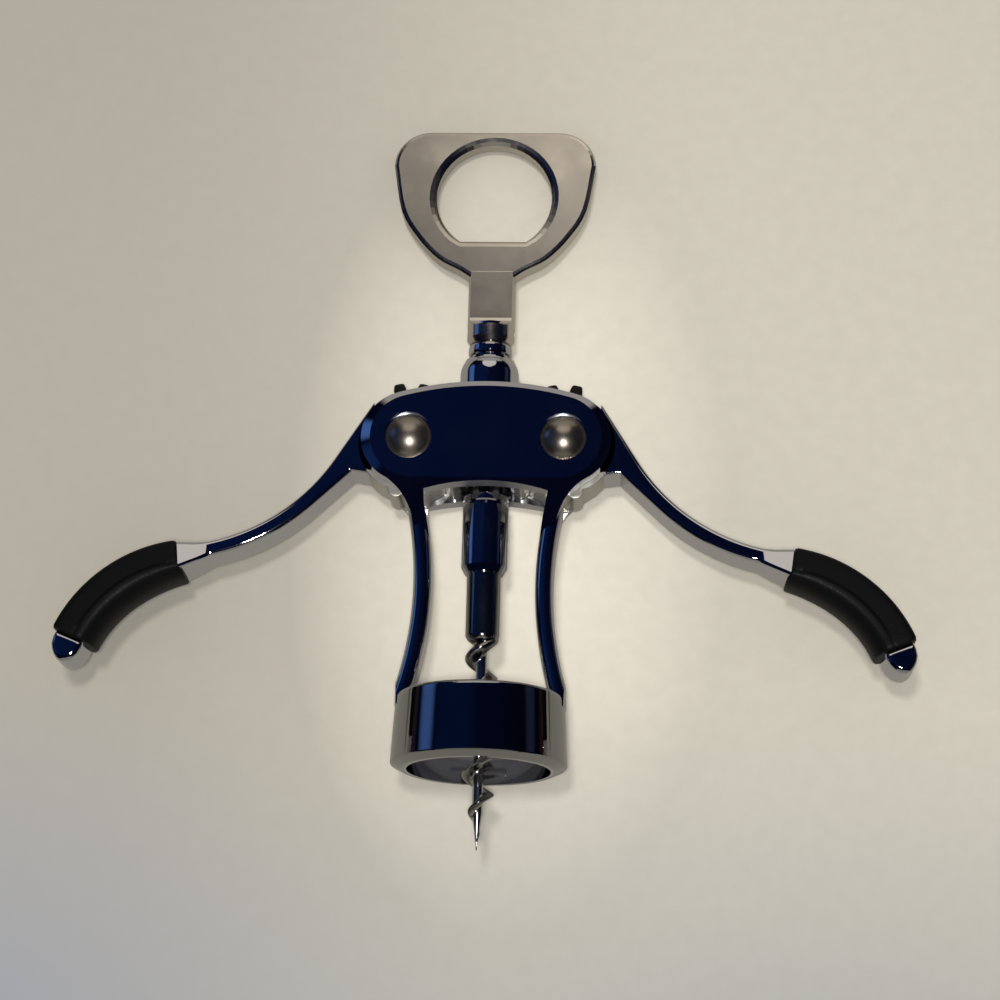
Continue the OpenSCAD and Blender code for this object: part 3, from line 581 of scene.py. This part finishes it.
def worm_rings():
    top = shank_low + 1.4
    n = int((top - point) / PITCH_MM * 56)
    rings = []
    for i in range(n + 1):
        y = point + (top - point) * i / n
        rise = min(1, max(0, (y - point - POINT_LEN) / (PITCH_MM * 0.9)))
        taper = min(1, max(0.12, (y - point) / (POINT_LEN + 2)))
        core = CORE_R * taper
        crest = (CORE_R + (FLIGHT_R - CORE_R) * math.sin(math.pi / 2 * rise)) * min(1, taper * 1.4)
        turn = PHASE + 360 * y / PITCH_MM
        broad = 51 + 70 * max(0, 1 - (shank_low - y) / 9)
        ring = []
        for q in range(-180, 180, 6):
            share = (0.5 + 0.5 * math.cos(math.pi * min(1, abs(q) / broad))) ** 0.8
            spot = heading(turn + q) * (core + (crest - core) * share)
            ring.append(Vector((spot.x * MM, y * MM, -spot.y * MM)))
        rings.append(ring)
    return rings


bm = lathed([(0.01, shank_low), (SHANK_R - 1.4, shank_low), (SHANK_R - 0.5, shank_low + 0.7),
             (SHANK_R, shank_low + 1.6), (SHANK_R, shank_top), (0.01, shank_top)], 72)
loft(bm, worm_rings())
mesh = shaded(bm, "screw_casting", 50)
new_piece("screw_casting", mesh, (worm_painted_light,), "spindle", "screw_worm")

# ---------------------------------------------------------------------------
# Key. A flat cast handle with a finger hole, plated and softly polished, and
# painted lighter towards +X and darker towards -X, a painted sheen and shade, with a mottle.
# ---------------------------------------------------------------------------

polished = plated("polished_plate", (0.58, 0.555, 0.51), 0.13, 0.24, 0.12, 0.22, lay=(0.35, 0.12, 1.0))
tree, shader = shader_of(polished)
# Lighter towards +X, darker towards -X: a painted sheen and shade, mixed with a random mottle.
painted_sheen_side = spread(tree, along(tree, "X"), 0.0, 1.0, -0.02, 0.02)
sheen_and_mottle = mingle(tree, painted_sheen_side, grain(tree, 70.0, (1, 0.5, 1), 3.0), 0.3)
tint = stain(tree, (0.45, 0.425, 0.385), (0.90, 0.86, 0.775), sheen_and_mottle)
tree.links.new(tint, shader.inputs["Base Color"])
dress("key_handle", polished)

# ---------------------------------------------------------------------------
# Table. Pale paper under the corkscrew, which lies on the side of its bell and
# the backs of its rivets. Light and shade are painted on it: painted shade to the
# left and at the near corners, a painted pool of light at the middle, and a painted
# shade near the corkscrew in what the chrome mirrors.
# ---------------------------------------------------------------------------

BELL_LOW = Vector((0, 0.0012, -0.01895))
RIVET_LOW = Vector((0, 0.0724, -0.01165))
tilt = math.atan2(RIVET_LOW.z - BELL_LOW.z, RIVET_LOW.y - BELL_LOW.y)

bpy.ops.mesh.primitive_plane_add(size=6.0)
table = bpy.context.object
table.name = "table"
table.matrix_world = Matrix.Translation(BELL_LOW) @ Matrix.Rotation(tilt, 4, "X")
material, tree, shader = new_material("pale_table", (0.6, 0.58, 0.53))
shader.inputs["Roughness"].default_value = 0.6
shader.inputs["Specular IOR Level"].default_value = 0.2


def wash(tree, kind, middle, reach):
    """A soft gradient over the table, about middle, as wide as reach in metres."""
    place = tree.nodes.new("ShaderNodeTexCoord")
    shift = tree.nodes.new("ShaderNodeVectorMath")
    shift.operation = "SUBTRACT"
    shift.inputs[1].default_value = (*middle, 0)
    size = tree.nodes.new("ShaderNodeVectorMath")
    size.operation = "DIVIDE"
    size.inputs[1].default_value = (*reach, 1)
    gradient = tree.nodes.new("ShaderNodeTexGradient")
    gradient.gradient_type = kind
    tree.links.new(place.outputs["Object"], shift.inputs[0])
    tree.links.new(shift.outputs["Vector"], size.inputs[0])
    tree.links.new(size.outputs["Vector"], gradient.inputs["Vector"])
    return gradient.outputs["Fac"]


# Painted light and shade: darker to the left, a painted pool of light at the middle, and painted shade with a blue
# cast at the near corners.
paper = stain(tree, (0.385, 0.367, 0.327), (0.53, 0.51, 0.45), wash(tree, "EASING", (-0.09, 0), (0.15, 1)))
for colour, middle, reach in (((0.90, 0.86, 0.76), (0.004, 0.06), (0.050, 0.095)),
                              ((0.27, 0.30, 0.37), (-0.12, -0.07), (0.13, 0.10)),
                              ((0.30, 0.32, 0.34), (0.07, -0.08), (0.17, 0.10))):
    paper = stain(tree, paper, colour, wash(tree, "SPHERICAL", middle, reach))
mottle = spread(tree, grain(tree, 260.0, detail=5.0), 0.0, 0.08)
paper = stain(tree, paper, (0.30, 0.285, 0.25), mottle)
# What the chrome mirrors of the table is painted darker: a painted shade near the corkscrew, and dimmer paper further
# off.
near = spread(tree, wash(tree, "SPHERICAL", (0, 0.10), (0.16, 0.5)), 0.0, 1.0, 0.12, 0.3)
front = spread(tree, wash(tree, "SPHERICAL", (0, -0.35), (0.55, 0.5)), 0.0, 1.0, 0.12, 0.3)
mirrored = stain(tree, (0.030, 0.010, 0.007), (0.30, 0.285, 0.25), near)
mirrored = stain(tree, mirrored, (0.26, 0.25, 0.22), front)
seen = tree.nodes.new("ShaderNodeLightPath")
paper = stain(tree, paper, mirrored, seen.outputs["Is Glossy Ray"])
tree.links.new(paper, shader.inputs["Base Color"])
relief(tree, shader, grain(tree, 500.0, detail=4.0), 0.0003, 0.12)
table.data.materials.append(material)

# ---------------------------------------------------------------------------
# Camera, at the photograph's angle.
# ---------------------------------------------------------------------------

scene = bpy.context.scene
scene.view_settings.view_transform = "Standard"

EYE = Vector((0.028877, -0.096884, 0.506197))
PITCH, YAW, ROLL = 0.3019, -0.0487, 0.0267
FOCAL_PIXELS, PHOTO_PIXELS, SENSOR = 2400, 1000, 36.0
ahead = Vector((math.sin(YAW), math.sin(PITCH), -math.cos(PITCH))).normalized()
across = ahead.cross(Vector((0, 1, 0))).normalized()
upward = across.cross(ahead)
right = across * math.cos(ROLL) + upward * math.sin(ROLL)
up = upward * math.cos(ROLL) - across * math.sin(ROLL)
lens = bpy.data.cameras.new("camera")
lens.sensor_width = SENSOR
lens.lens = FOCAL_PIXELS * SENSOR / PHOTO_PIXELS
lens.clip_start = 0.01
camera = bpy.data.objects.new("camera", lens)
scene.collection.objects.link(camera)
camera.matrix_world = Matrix.Translation(EYE) @ Matrix((right, up, -ahead)).transposed().to_4x4()
scene.camera = camera

# ---------------------------------------------------------------------------
# Light. A soft lamp overhead, a small one beside the camera that the domes and
# the bell's mouth catch, and a dim room that the chrome mirrors.
# ---------------------------------------------------------------------------


def lamp(name, place, size, power, colour, mirrored):
    light = bpy.data.lights.new(name, "AREA")
    light.shape = "DISK"
    light.size = size
    light.energy = power
    light.color = colour
    thing = bpy.data.objects.new(name, light)
    scene.collection.objects.link(thing)
    thing.location = place
    thing.rotation_euler = (Vector((0, 0.06, 0)) - Vector(place)).to_track_quat("-Z", "Y").to_euler()
    thing.visible_glossy = mirrored


lamp("soft_light", (-0.03, 0.05, 0.9), 0.10, 2.9, (1.0, 0.96, 0.90), False)
lamp("near_light", (0.03, -0.13, 0.62), 0.06, 2.1, (1.0, 0.97, 0.92), True)

world = bpy.data.worlds.new("room")
scene.world = world
world.use_nodes = True
tree = world.node_tree
tree.nodes.clear()
out = tree.nodes.new("ShaderNodeOutputWorld")
soft = tree.nodes.new("ShaderNodeBackground")
soft.inputs["Color"].default_value = (1.0, 0.96, 0.9, 1)
soft.inputs["Strength"].default_value = 0.45
mirrored = tree.nodes.new("ShaderNodeBackground")
path = tree.nodes.new("ShaderNodeLightPath")
choose = tree.nodes.new("ShaderNodeMixShader")
tree.links.new(path.outputs["Is Glossy Ray"], choose.inputs["Fac"])
tree.links.new(soft.outputs["Background"], choose.inputs[1])
tree.links.new(mirrored.outputs["Background"], choose.inputs[2])
tree.links.new(choose.outputs["Shader"], out.inputs["Surface"])
ray = tree.nodes.new("ShaderNodeTexCoord")


def patch(tree, direction, wide, narrow):
    """1 where a mirrored ray leaves within narrow degrees of direction, 0 beyond wide degrees."""
    dot = tree.nodes.new("ShaderNodeVectorMath")
    dot.operation = "DOT_PRODUCT"
    tree.links.new(ray.outputs["Generated"], dot.inputs[0])
    dot.inputs[1].default_value = Vector(direction).normalized()
    span = tree.nodes.new("ShaderNodeMapRange")
    span.interpolation_type = "SMOOTHSTEP"
    span.inputs["From Min"].default_value = math.cos(math.radians(wide))
    span.inputs["From Max"].default_value = math.cos(math.radians(narrow))
    tree.links.new(dot.outputs["Value"], span.inputs["Value"])
    return span.outputs["Result"]


ROOM = (
    # direction, outer and inner angle, colour: a dark blue ceiling, bluer to the left, a warm wall behind
    # the key, its foot, the table's near edge, a blue window's foot to the left, the window, a dim one right
    ((-0.15, 0.20, 0.95), 70, 15, (0.0018, 0.0040, 0.019)),
    ((-0.50, 0.25, 0.80), 34, 12, (0.0025, 0.009, 0.042)),
    ((0, 0.722, 0.692), 23.2, 22.2, (0.76, 0.69, 0.60)),
    ((0, 1, 0.04), 37, 29, (0.42, 0.38, 0.335)),
    ((0, -1, 0), 38, 33, (0.26, 0.245, 0.22)),
    ((-0.80, -0.06, 0.58), 20, 8, (0.006, 0.020, 0.080)),
    ((-0.88, 0.40, 0.27), 14, 6, (0.065, 0.145, 0.39)),
    ((0.90, 0.38, 0.25), 10, 4, (0.018, 0.024, 0.055)),
)
view = (0.0015, 0.002, 0.008)
for direction, wide, narrow, tone in ROOM:
    view = stain(tree, view, tone, patch(tree, direction, wide, narrow))
tree.links.new(view, mirrored.inputs["Color"])
